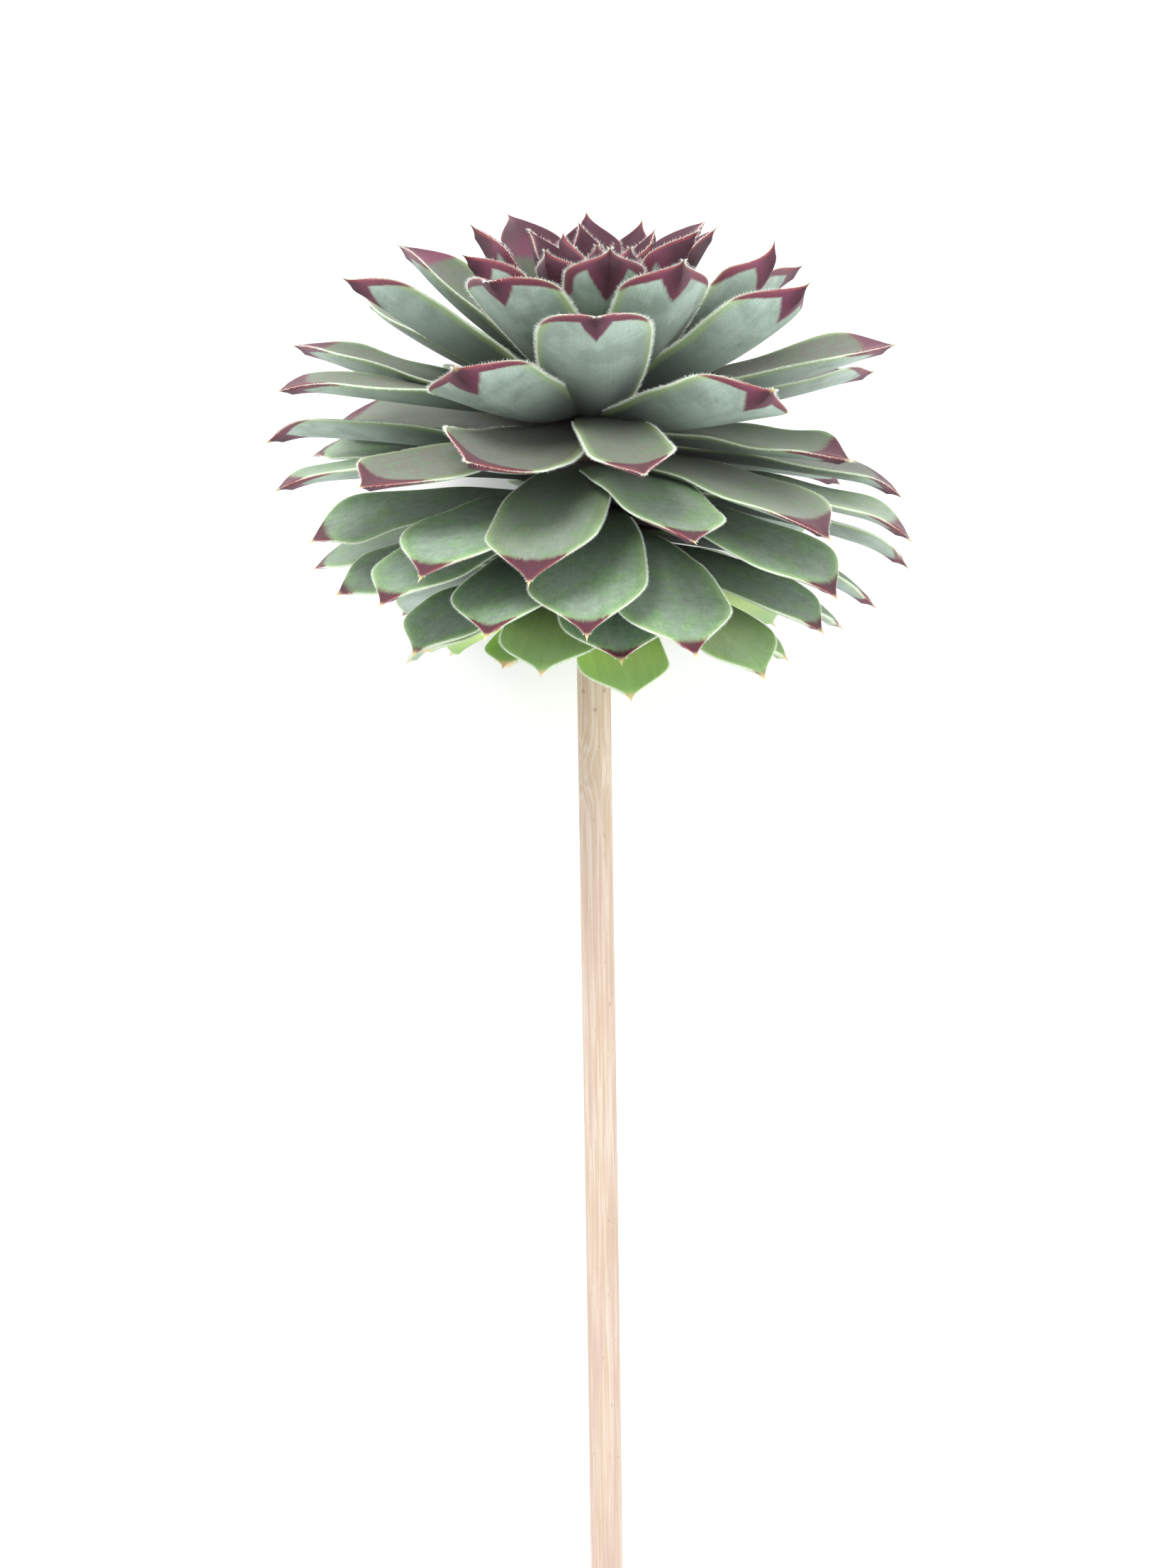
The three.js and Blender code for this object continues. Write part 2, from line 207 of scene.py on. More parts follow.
class Shader:
    """A material under construction, with short calls for the nodes that the finishes use."""

    def __init__(self, name: str) -> None:
        """Starts a material that has only its surface shader.

        Args:
            name: The material's name.
        """
        self.material = bpy.data.materials.new(name)
        self.material.use_nodes = True
        self.tree = self.material.node_tree
        self.surface = self.tree.nodes["Principled BSDF"]

    def feed(self, socket: Socket, value: object) -> None:
        """Links a socket to another one, or sets it to a plain value or a screen colour."""
        if isinstance(value, Socket):
            self.tree.links.new(value, socket)
        else:
            socket.default_value = linear(value) if isinstance(value, str) else value

    def dress(self, values: dict[str, object]) -> None:
        """Feeds the surface shader's sockets, each given by its name."""
        for name, value in values.items():
            self.feed(self.surface.inputs[name], value)

    def node(self, kind: str, output: str | int, inputs: dict[str | int, object],
             **settings: object) -> Socket:
        """Adds a node.

        Args:
            kind: Blender's name for the kind, without its ShaderNode.
            output: The name or number of the output that is wanted.
            inputs: What feeds the node, by the names or numbers of its sockets.
            **settings: The node's properties.

        Returns:
            The output.
        """
        made = self.tree.nodes.new(f"ShaderNode{kind}")
        for key, value in settings.items():
            setattr(made, key, value)
        for socket, value in inputs.items():
            self.feed(made.inputs[socket], value)
        return made.outputs[output]

    def attribute(self, name: str, output: str = "Fac") -> Socket:
        """Reads an attribute that the mesh carries."""
        return self.node("Attribute", output, {}, attribute_name=name)

    def object_place(self) -> Socket:
        """The place in the row frame, in metres."""
        return self.node("TexCoord", "Object", {})

    def math(self, operation: str, first: object, second: object, third: object = 0.0) -> Socket:
        """Calculates with sockets or numbers. Some operations take three."""
        return self.node("Math", 0, {0: first, 1: second, 2: third}, operation=operation)

    def times(self, first: object, second: object) -> Socket:
        """Two numbers multiplied."""
        return self.math("MULTIPLY", first, second)

    def ramp(self, value: object, slope: object, start: object) -> Socket:
        """A number multiplied by a slope and added to a start."""
        return self.math("MULTIPLY_ADD", value, slope, start)

    def between(self, value: object, low: object, high: object) -> Socket:
        """A smooth rise from 0 where value is low to 1 where it is high."""
        limits = {"Value": value, "From Min": low, "From Max": high}
        return self.node("MapRange", "Result", limits, interpolation_type="SMOOTHSTEP")

    def mix(self, share: object, first: object, second: object) -> Socket:
        """Mixes two colours: the first where share is 0, the second where it is 1."""
        return self.node("Mix", 2, {0: share, 6: first, 7: second}, data_type="RGBA")

    def blend(self, share: object, first: object, second: object) -> Socket:
        """Mixes two numbers: the first where share is 0, the second where it is 1."""
        return self.node("Mix", 0, {0: share, 2: first, 3: second})

    def scaled(self, colour: Socket, factor: object) -> Socket:
        """A colour made darker or lighter by a factor."""
        return self.node("VectorMath", 0, {0: colour, "Scale": factor}, operation="SCALE")

    def distance(self, place: Socket, point: Point) -> Socket:
        """How far a place is from a fixed point."""
        return self.node("VectorMath", "Value", {0: place, 1: point}, operation="DISTANCE")

    def noise(self, place: Socket, scale: float, detail: float, roughness: float = 0.5) -> Socket:
        """Cloudy noise from 0 to 1 at a place."""
        return self.node("TexNoise", "Fac", {
            "Vector": place, "Scale": scale, "Detail": detail, "Roughness": roughness})

    def stretched(self, place: Socket, scale: Point) -> Socket:
        """A place with its axes scaled, to stretch a pattern."""
        return self.node("Mapping", "Vector", {"Vector": place, "Scale": scale})

    def bump(self, height: Socket, depth_mm: float) -> None:
        """Gives the surface a fine relief, with its depth in millimetres."""
        relief = {"Distance": depth_mm * MM, "Height": height}
        self.dress({"Normal": self.node("Bump", "Normal", relief)})


@dataclass(frozen=True)
class LeafFinish:
    """Waxy leaf skin: powdery green with a pale rim, maroon at the tip and fine speckles, with
    painted shade at the leaf's root and painted backlight at its edges.
    """

    back: str = "b2c6bb"
    # Partly painted shade: the darker back colour is laid on towards the leaf's root as shade, and
    # in cloudy patches as real mottling.
    back_shade_and_mottle: str = "758778"
    face: str = "6a8561"
    face_grey: str = "748176"
    face_taupe: str = "655c57"
    # Partly painted light: the real yellow-green of the oldest leaves, lightened to stand for
    # backlight shining through them.
    lime: str = "c4e27c"
    lime_low: str = "94bc68"
    # Painted light: a lighter lime-green band inside the margin stands for backlight shining
    # through the thin edges.
    backlit_halo: str = "a2ba7c"
    rim: str = "d9e2d3"
    maroon: str = "6d384e"
    maroon_dark: str = "4a2534"
    maroon_face: str = "471626"
    rust: str = "783a3b"
    red_rim: str = "85393d"
    withered: str = "8f7f2e"
    dry: str = "dcc094"
    # Painted shade, tinted maroon-brown: the dark colour at each leaf's root stands for the shade
    # in the crevices between the leaf bases.
    root: str = "3d2023"
    powder: str = "e6ece2"
    roughness: float = 0.55
    gloss: float = 0.3
    sheen: float = 0.1
    sheen_roughness: float = 0.5
    translucence: float = 0.25
    scatter_colour: Point = (0.7, 1.0, 0.35)
    scatter_mm: float = 1.2
    relief_mm: float = 0.1
    vein_relief: float = 0.8

    def material(self) -> Material:
        """Builds the material, which reads the attributes that each leaf carries."""
        s = Shader("leaf_skin")
        skin = LeafSkin(self, s)
        s.dress({
            "Base Color": skin.colour(),
            "Roughness": self.roughness,
            "Specular IOR Level": self.gloss,
            "Sheen Weight": self.sheen,
            "Sheen Roughness": self.sheen_roughness,
            "Subsurface Weight": self.translucence,
            "Subsurface Radius": self.scatter_colour,
            "Subsurface Scale": self.scatter_mm * MM,
        })
        s.bump(s.math("ADD", skin.grain, s.times(skin.veins, self.vein_relief)), self.relief_mm)
        return s.material


class LeafSkin:
    """The colour of a leaf, laid on in layers over the places that each leaf carries.

    Each pair says where a layer is absent and where it is full. An age is a leaf's number in
    hundreds. The other bare numbers say how strong a layer is.
    """

    # Shares of the leaf's length.
    # Where painted shade darkens the back towards the leaf's root.
    PAINTED_SHADE_ON_BACK = (0.7, 0.1)
    # Where painted shade darkens the back at the crowded leaf base.
    BASE_SHADE = (0.86, 0.22)
    # Where the painted shade of the crevices at the leaf's root comes in.
    ROOT = (0.2, 0.02)
    RIM_STARTS = (0.1, 0.3)
    # Millimetres from the margin.
    GREY_MIDDLE = (0.6, 3.5)
    # Where the painted backlight band lies inside the margin.
    BACKLIT_HALO = (1.6, 0.5)
    RIM = (0.25, 0.05)
    # Millimetres from the tip.
    LIME_TIP = (11.0, 2.5)
    DRY_TIP = (2.1, 1.0)
    # Ages.
    TAUPE_AGES = (0.66, 0.5)
    # Ages over which painted shade on the faces turns to painted light.
    PAINTED_LIGHT_AGES = (0.44, 0.62)
    LIME_AGES = (0.87, 0.99)
    WITHERED_AGES = (1.02, 1.08)
    BAND_AGES = (0.75, 0.6)
    DARK_MAROON_AGES = (0.3, 0.45)
    DRY_AGES = (0.3, 0.46)
    POWDER_AGES = (0.3, 0.5)
    # Millimetres: the wedge on the back, the band along its margins and the ragged border.
    WEDGE_DEPTH, WEDGE_TAPER = 5.2, 1.6
    BAND_LENGTH, BAND_WIDTH = 2.5, 1.1
    RAGGED = 1.3

    def __init__(self, finish: LeafFinish, shader: Shader) -> None:
        """Reads the leaf's attributes and makes the patterns that the layers share.

        Args:
            finish: The colours.
            shader: The material under construction.
        """
        self.finish, self.s = finish, shader
        place = shader.attribute("leaf_place", "Vector")
        across = shader.node("SeparateXYZ", "X", {0: place})
        self.from_middle = shader.math("ABSOLUTE", across, 0.0)
        self.from_tip = shader.node("SeparateXYZ", "Y", {0: place})
        self.edge, self.side, self.along, self.age, self.tint, self.stain = (
            shader.attribute(f"leaf_{name}")
            for name in ("edge", "side", "along", "age", "tint", "stain"))
        self.upper = shader.between(shader.attribute("leaf_face"), -0.25, 0.25)
        self.clouds = shader.noise(place, 0.2, 4.0, 0.6)
        self.patches = shader.noise(place, 0.75, 3.0, 0.6)
        self.grain = shader.noise(place, 5.0, 3.0, 0.7)
        self.veins = shader.noise(shader.stretched(place, (1.3, 0.06, 1.0)), 1.0, 3.0, 0.55)
        self.feather = shader.noise(shader.stretched(place, (2.4, 0.3, 1.0)), 1.0, 3.0, 0.6)
        self.dots = shader.noise(place, 1.7, 1.0)

    def green(self) -> Socket:
        """The green of the back and of the face, with painted shade towards the root and on mid-age
        faces, which turns lime on the oldest leaves.
        """
        s, finish = self.s, self.finish
        # Painted shade towards the root of the back, joined by real cloudy mottling in the same
        # darker colour.
        low = s.between(self.along, *self.PAINTED_SHADE_ON_BACK)
        low = s.math("MAXIMUM", low, s.times(s.between(self.clouds, 0.6, 0.38), 0.45))
        back = s.mix(low, finish.back, finish.back_shade_and_mottle)
        # Painted shade: the back is darkened further towards the leaf's base, where the leaves
        # crowd together.
        back = s.scaled(back, s.ramp(s.between(self.along, *self.BASE_SHADE), -0.7, 1.0))
        middle = s.between(self.edge, *self.GREY_MIDDLE)
        grey = s.times(s.times(s.between(self.clouds, 0.36, 0.56), middle), 0.75)
        face = s.mix(grey, finish.face, finish.face_grey)
        taupe = s.times(s.between(self.age, *self.TAUPE_AGES), s.between(self.patches, 0.3, 0.6))
        face = s.mix(s.times(taupe, s.ramp(self.tint, 0.5, 0.4)), face, finish.face_taupe)
        # Painted shade and light: the faces of mid-age leaves are darkened and those of older
        # leaves lightened, for how the light falls on them.
        face = s.scaled(face, s.ramp(s.between(self.age, *self.PAINTED_LIGHT_AGES), 0.45, 0.7))
        face = s.scaled(face, s.ramp(self.patches, 0.9, 0.55))
        skin = s.mix(self.upper, back, face)
        yellowed = s.between(s.ramp(self.tint, 0.05, self.age), *self.LIME_AGES)
        # Partly painted light: real yellowing, made brighter for backlight shining through the old
        # leaves.
        lime = s.mix(s.between(self.from_tip, *self.LIME_TIP), finish.lime, finish.lime_low)
        living = s.mix(yellowed, skin, lime)
        return s.mix(s.between(self.age, *self.WITHERED_AGES), living, finish.withered)

    def maroon_share(self) -> tuple[Socket, Socket]:
        """Where the tip is maroon: a wedge and a band on the back, a crescent on the face.

        Returns:
            The share of maroon, and how far inside its border a place is, in millimetres.
        """
        s = self.s
        ragged = s.times(s.math("SUBTRACT", self.feather, 0.5), self.RAGGED)
        reach = s.math("ADD", self.from_tip, ragged)
        wedge = s.ramp(self.from_middle, -self.WEDGE_TAPER, self.WEDGE_DEPTH)
        wedge = s.times(s.math("MAXIMUM", wedge, 0.0), s.between(self.stain, 0.5, 5.0))
        back_reach = s.ramp(self.stain, 0.55, wedge)
        horns = s.times(s.math("POWER", self.side, 3.0), self.tint)
        face_reach = s.times(self.stain, s.ramp(horns, 0.6, 1.15))
        inside = s.math("SUBTRACT", s.blend(self.upper, back_reach, face_reach), reach)
        blot = s.between(inside, -0.7, 0.6)
        band_end = s.ramp(self.stain, 1.3, s.math("SUBTRACT", self.BAND_LENGTH, reach))
        band_width = s.math("MINIMUM", s.times(band_end, 0.3), self.BAND_WIDTH)
        band = s.between(s.math("SUBTRACT", band_width, self.edge), -0.3, 0.2)
        on_back = s.math("SUBTRACT", 1.0, self.upper)
        band = s.times(band, s.times(on_back, s.between(self.age, *self.BAND_AGES)))
        return s.math("MAXIMUM", blot, band), inside

    def maroon(self, inside: Socket) -> Socket:
        """The maroon: darker deep inside its border, and rusty at the border.

        Args:
            inside: How far inside its border a place is, in millimetres.

        Returns:
            The colour.
        """
        s, finish = self.s, self.finish
        maroon = s.mix(s.between(inside, 5.0, 0.5), finish.maroon_dark, finish.maroon)
        on_grown_face = s.times(self.upper, s.between(self.age, *self.DARK_MAROON_AGES))
        maroon = s.mix(on_grown_face, maroon, finish.maroon_face)
        return s.mix(s.times(s.between(inside, 0.6, -0.4), 0.3), maroon, finish.rust)

    def colour(self) -> Socket:
        """All the layers, from the green to the dry tip."""
        s, finish = self.s, self.finish
        skin = self.green()
        # Painted light: a lighter band inside the margin, stronger on the back, for backlight
        # shining through the thin edges.
        backlit_halo = s.between(s.ramp(self.clouds, 0.7, self.edge), *self.BACKLIT_HALO)
        skin = s.mix(s.times(backlit_halo, s.ramp(self.upper, -0.22, 0.6)), skin, finish.backlit_halo)
        skin = s.scaled(skin, s.ramp(self.veins, 0.3, 0.85))
        # Painted shade: the leaf's root is blended to a dark maroon-brown, for the shade between
        # the crowded leaf bases.
        skin = s.mix(s.between(self.along, *self.ROOT), skin, finish.root)
        maroon_share, inside = self.maroon_share()
        skin = s.mix(maroon_share, skin, self.maroon(inside))
        rim = s.times(s.between(self.edge, *self.RIM), s.between(self.along, *self.RIM_STARTS))
        rim_colour = s.mix(maroon_share, finish.rim, finish.red_rim)
        skin = s.mix(s.times(rim, 0.7), skin, rim_colour)
        dry = s.times(s.between(self.from_tip, *self.DRY_TIP), s.between(self.age, *self.DRY_AGES))
        skin = s.mix(dry, skin, finish.dry)
        skin = s.scaled(skin, s.ramp(self.grain, 1.1, 0.45))
        powder = s.times(s.between(self.grain, 0.56, 0.7), s.between(self.age, *self.POWDER_AGES))
        skin = s.mix(s.times(powder, s.ramp(maroon_share, -0.15, 0.15)), skin, finish.powder)
        return s.mix(s.times(s.between(self.dots, 0.76, 0.8), 0.6), skin, finish.rust)


@dataclass(frozen=True)
class HairFinish:
    """The glassy white hairs of a leaf's fringe, with a faint painted glow for backlight shining
    through them.
    """

    colour: str = "eef3ec"
    shade: str = "d5ddd2"
    roughness: float = 0.45
    # Painted light: the hairs glow faintly, for backlight shining through them.
    glow: float = 0.08
    translucence: float = 0.3
    scatter_colour: Point = (1.0, 1.0, 0.8)
    scatter_mm: float = 0.5
    tint_scale: float = 900.0

    def material(self) -> Material:
        """Builds the material."""
        s = Shader("fringe_hair")
        tint = s.noise(s.object_place(), self.tint_scale, 1.0)
        s.dress({
            "Base Color": s.mix(s.between(tint, 0.35, 0.6), self.shade, self.colour),
            # Painted light: faint emission for backlight shining through the hairs.
            "Emission Color": self.colour,
            "Emission Strength": self.glow,
            "Roughness": self.roughness,
            "Subsurface Weight": self.translucence,
            "Subsurface Radius": self.scatter_colour,
            "Subsurface Scale": self.scatter_mm * MM,
        })
        return s.material


@dataclass(frozen=True)
class StemFinish:
    """The pale green stem between the leaf bases, brown where old leaves have dropped."""

    green: str = "8d9c6c"
    brown: str = "5b4033"
    roughness: float = 0.7
    scar_scale: float = 260.0
    relief_mm: float = 0.3

    def material(self) -> Material:
        """Builds the material."""
        s = Shader("stem_skin")
        scars = s.noise(s.object_place(), self.scar_scale, 3.0, 0.6)
        s.dress({
            "Base Color": s.mix(s.between(scars, 0.42, 0.62), self.green, self.brown),
            "Roughness": self.roughness,
        })
        s.bump(scars, self.relief_mm)
        return s.material


@dataclass(frozen=True)
class StickFinish:
    """Bare pale wood with long fibres, a few flecks and a faint pink cast."""

    pale: str = "cebfb2"
    warm: str = "bba58e"
    pink: str = "ba9f92"
    fleck: str = "86644f"
    roughness: float = 0.7
    relief_mm: float = 0.12
    knots: tuple[Point, ...] = (
        (-1.7, -1.9, -7.3), (1.6, -2.0, -7.2), (0.1, -2.5, -10.0))
    knot_edge: Pair = (0.75, 0.4)

    def material(self) -> Material:
        """Builds the material."""
        s = Shader("bare_wood")
        place = s.attribute("wood_place", "Vector")
        fibres = s.noise(s.stretched(place, (2.8, 2.8, 0.06)), 1.0, 6.0, 0.65)
        broad = s.noise(s.stretched(place, (0.55, 0.55, 0.03)), 1.0, 3.0, 0.55)
        flecks = s.noise(s.stretched(place, (2.4, 2.4, 0.7)), 1.0, 2.0, 0.5)
        wood = s.mix(s.between(fibres, 0.38, 0.64), self.warm, self.pale)
        wood = s.mix(s.times(s.between(broad, 0.45, 0.65), 0.7), wood, self.pink)
        dark = s.times(s.between(flecks, 0.7, 0.76), 0.6)
        for knot in self.knots:
            away = s.math("ADD", s.distance(place, knot), s.times(flecks, 0.5))
            dark = s.math("MAXIMUM", dark, s.times(s.between(away, *self.knot_edge), 0.45))
        s.dress({"Base Color": s.mix(dark, wood, self.fleck), "Roughness": self.roughness})
        s.bump(fibres, self.relief_mm)
        return s.material


# ---- leaves


# How leaves change with age: pairs of a leaf's number and a value, in millimetres or degrees.
AGES: dict[str, Curve] = {
    "length": ((0, 6), (12, 17), (24, 28), (30, 34.5), (38, 42), (50, 44.5), (70, 44), (75, 42.5),
        (80, 39), (95, 26), (100, 20)),
    "width": ((0, 2), (12, 5.8), (24, 11.8), (36, 16), (44, 16.5), (75, 16.5), (90, 15), (100, 12)),
    "shoulders": ((0, 1.6), (20, 1.8), (28, 2.4), (36, 3), (100, 3)),
    "thickness": ((0, 1.2), (28, 2.2), (38, 2.4), (60, 2.4), (100, 1.8)),
    "root_radius": ((0, 0.4), (6, 1.4), (20, 2.6), (28, 3.2), (36, 4.4), (42, 4.8), (95, 4.8),
        (100, 4.4)),
    "root_height": ((0, 47.5), (12, 44.5), (24, 41.5), (28, 40), (36, 36.6), (50, 30.2), (70, 20.5),
        (90, 9.3), (100, 4)),
    "rise": ((0, 88), (6, 82), (12, 71), (20, 57), (28, 37), (36, 19), (38, 12), (42, 8), (50, 1.5),
        (60, -5), (70, -12), (80, -17), (90, -20), (100, -26)),
    "arch": ((0, 0), (12, -24), (27, -24), (34, -18), (42, -12), (50, 8), (60, 16), (90, 24),
        (100, 24)),
    "cup": ((0, 0.5), (12, 1.6), (20, 2.2), (28, 2.5), (36, 2.3), (44, 1.5), (50, 0.9), (70, 0.6),
        (100, 0.6)),
    "hook": ((0, 0), (8, 10), (16, 28), (24, 28), (32, 16), (36, 10), (42, 12), (47, 24), (55, 30),
        (62, 22), (75, 16), (100, 12)),
    "stain": ((0, 60), (17, 40), (20, 14), (24, 8), (28, 6), (36, 5), (49, 5.2), (57, 4.8),
        (64, 3.6), (75, 3.2), (83, 2.4), (90, 1), (100, 0.8)),
}


# How single leaves depart from that: what is added, in degrees or millimetres, and factors.
SHIFTS: dict[str, dict[int, float]] = {
    "turn": {7: 9, 10: 7, 11: 8, 14: -4, 15: 8, 18: 1, 20: 7, 22: -8, 23: 12, 28: -8, 31: 4, 36: -2,
        37: 6, 39: 23, 41: -2, 43: -6, 44: -2, 49: -5, 54: 4, 62: -5, 65: 2, 67: -3, 73: 14,
        75: -11, 78: 2, 83: -2, 88: 7, 91: 3, 96: -5},
    "root": {28: -2.5, 36: -2.2, 47: 3, 49: 3, 62: 2},
    "aside": {28: 3.2},
    "rise": {7: -5, 9: -11, 10: -6, 11: 4, 13: 6, 14: -6, 15: -2, 16: -3, 17: -11, 18: -6, 19: 6,
        20: -5, 22: -1, 23: -12, 24: 8, 25: -9.5, 26: 4, 28: -2, 29: 2, 30: -4, 33: 0.5, 34: 6,
        36: 7.5, 37: 6, 38: -0.5, 39: 2.5, 41: -1, 42: 6, 43: 5, 44: -9, 46: -4, 47: -2, 49: -7,
        50: -5, 51: -5, 52: -8, 54: -7, 55: -1, 57: -13, 59: -2, 60: 1, 62: -2, 63: 3, 64: -4,
        65: -5, 67: -2, 68: -5, 70: -3, 72: -3, 73: -2, 75: -3, 76: 2, 78: 2, 80: 1, 81: 7, 83: -2,
        88: -4, 89: -8, 91: 4, 94: 6, 96: -4, 99: 6},
    "arch": {25: -32, 33: -26, 36: -22, 39: -24, 41: -14, 44: -12},
    "cup": {36: 0.3},
    "hook": {13: -10, 14: -14, 15: -10, 18: -16, 19: -22, 23: -22, 25: -50, 28: -16, 31: 26, 36: 30,
        39: -5, 41: -10, 44: -12, 46: -10, 49: -20, 52: -16, 57: -10, 62: -14},
    "roll": {25: -26, 30: -12, 33: -20, 34: 14, 38: 10, 39: 22, 41: -32, 44: -24, 46: 6, 50: -26,
        51: 10, 52: -14, 55: 14, 59: 6, 60: 6, 62: -5, 63: -14, 65: -8, 68: -30, 76: -20, 81: -20},
}
FACTORS: dict[str, dict[int, float]] = {
    "length": {9: 1.22, 11: 1.12, 12: 0.92, 13: 0.95, 14: 1.12, 15: 0.85, 17: 1.1, 18: 0.85,
        22: 1.04, 23: 1.05, 25: 1.12, 26: 0.83, 28: 1.08, 29: 1.03, 30: 1.02, 33: 1.02, 34: 0.96,
        37: 1.02, 39: 0.88, 42: 1.03, 46: 0.87, 47: 0.95, 50: 0.98, 51: 1.01, 59: 1.01, 60: 1.02,
        63: 1.02, 64: 1.08, 68: 0.86, 72: 0.93, 73: 0.94, 80: 0.96, 81: 0.9, 89: 0.92, 91: 1.06,
        94: 0.9, 96: 1.1, 99: 0.85},
    "width": {33: 0.96, 46: 0.9, 49: 0.72, 57: 0.95, 62: 0.92},
}


class Part(Enum):
    """Which part of the rosette a leaf belongs to."""

    HEART = "heart"
    GROWN = "grown"
    OLD = "old"


@dataclass(frozen=True)
class LeafRule:
    """All that says where a leaf stands and what shape it has, in millimetres and degrees."""

    number: int
    azimuth: float
    aside: float
    root_radius: float
    root_height: float
    length: float
    width: float
    shoulders: float
    thickness: float
    rise: float
    arch: float
    cup: float
    hook: float
    roll: float
    stain: float


@dataclass
class Phyllotaxis:
    """The rule that gives each leaf its place and shape from its number.

    The uneven values are the sizes of the random parts. A leaf that reaches more than
    below_floor under the floor is shortened in steps of trim_step.
    """

    laid: LaidDown
    leaves: int = 101
    young: int = 28
    old: int = 85
    turn: float = -137.78
    front_leaf: int = 36
    front_azimuth: float = 3.0
    sag_azimuth: float = 75.0
    sag_most: float = 7.0
    sag_ages: tuple[int, int, int, int] = (38, 48, 64, 84)
    loose_ages: Pair = (28, 48)
    heart_ages: Pair = (12, 26)
    heart_aside: float = 2.5
    below_floor: float = 0.8
    trim_step: float = 0.05
    uneven_turn: float = 1.5
    uneven_length: float = 0.04
    uneven_rise: float = 2.0
    uneven_hook: float = 0.4
    uneven_roll: float = 6.0

    def part(self, leaf: int) -> Part:
        """The part of the rosette that a leaf belongs to."""
        if leaf < self.young:
            return Part.HEART
        return Part.GROWN if leaf < self.old else Part.OLD

    def sag(self, leaf: int, azimuth: float) -> float:
        """How much lower a leaf hangs than others of its age."""
        start, full, still_full, end = self.sag_ages
        grown = smoothstep(leaf, start, full) * (1.0 - smoothstep(leaf, still_full, end))
        return self.sag_most * grown * math.cos(math.radians(azimuth - self.sag_azimuth))

    def at_age(self, name: str, leaf: int) -> float:
        """A value of AGES at a leaf."""
        return float(np.interp(leaf, *zip(*AGES[name])))

    def rule(self, leaf: int) -> LeafRule:
        """Works out a leaf.

        Args:
            leaf: The leaf's number.

        Returns:
            Its rule, shortened where its tip would pass below the floor.
        """
        shift = {name: leaves.get(leaf, 0.0) for name, leaves in SHIFTS.items()}
        factor = {name: leaves.get(leaf, 1.0) for name, leaves in FACTORS.items()}
        loose = float(smoothstep(leaf, *self.loose_ages))
        age = {name: self.at_age(name, leaf) for name in AGES}
        azimuth = (self.front_azimuth + (leaf - self.front_leaf) * self.turn
                   + shift["turn"] + self.uneven_turn * draw(leaf, 1))
        longer = 1.0 + self.uneven_length * loose * draw(leaf, 2)
        length = age["length"] * factor["length"] * longer
        rise = age["rise"] + shift["rise"] + self.uneven_rise * loose * draw(leaf, 3)
        rise -= self.sag(leaf, azimuth)
        hook = age["hook"] * (1.0 + self.uneven_hook * draw(leaf, 4)) + shift["hook"]
        roll = shift["roll"] + self.uneven_roll * loose * draw(leaf, 5)
        aside = self.heart_aside * (1.0 - float(smoothstep(leaf, *self.heart_ages)))
        rule = LeafRule(
            leaf, azimuth, aside + shift["aside"], age["root_radius"],
            age["root_height"] + shift["root"], length, age["width"] * factor["width"],
            age["shoulders"], age["thickness"], rise, age["arch"] + shift["arch"],
            age["cup"] + shift["cup"], hook, roll, age["stain"])
        while self.lowest(rule) < -self.below_floor:
            rule = replace(rule, length=rule.length - self.trim_step)
        return rule

    def lowest(self, rule: LeafRule) -> float:
        """Height of a leaf's lowest point above the floor, in millimetres."""
        blade = Blade(rule)
        corners = np.meshgrid(blade.STATIONS, (-1.0, 0.0, 1.0), (-1.0, 1.0))
        return float(self.laid.heights(blade.coarse(*(c.ravel() for c in corners))).min())


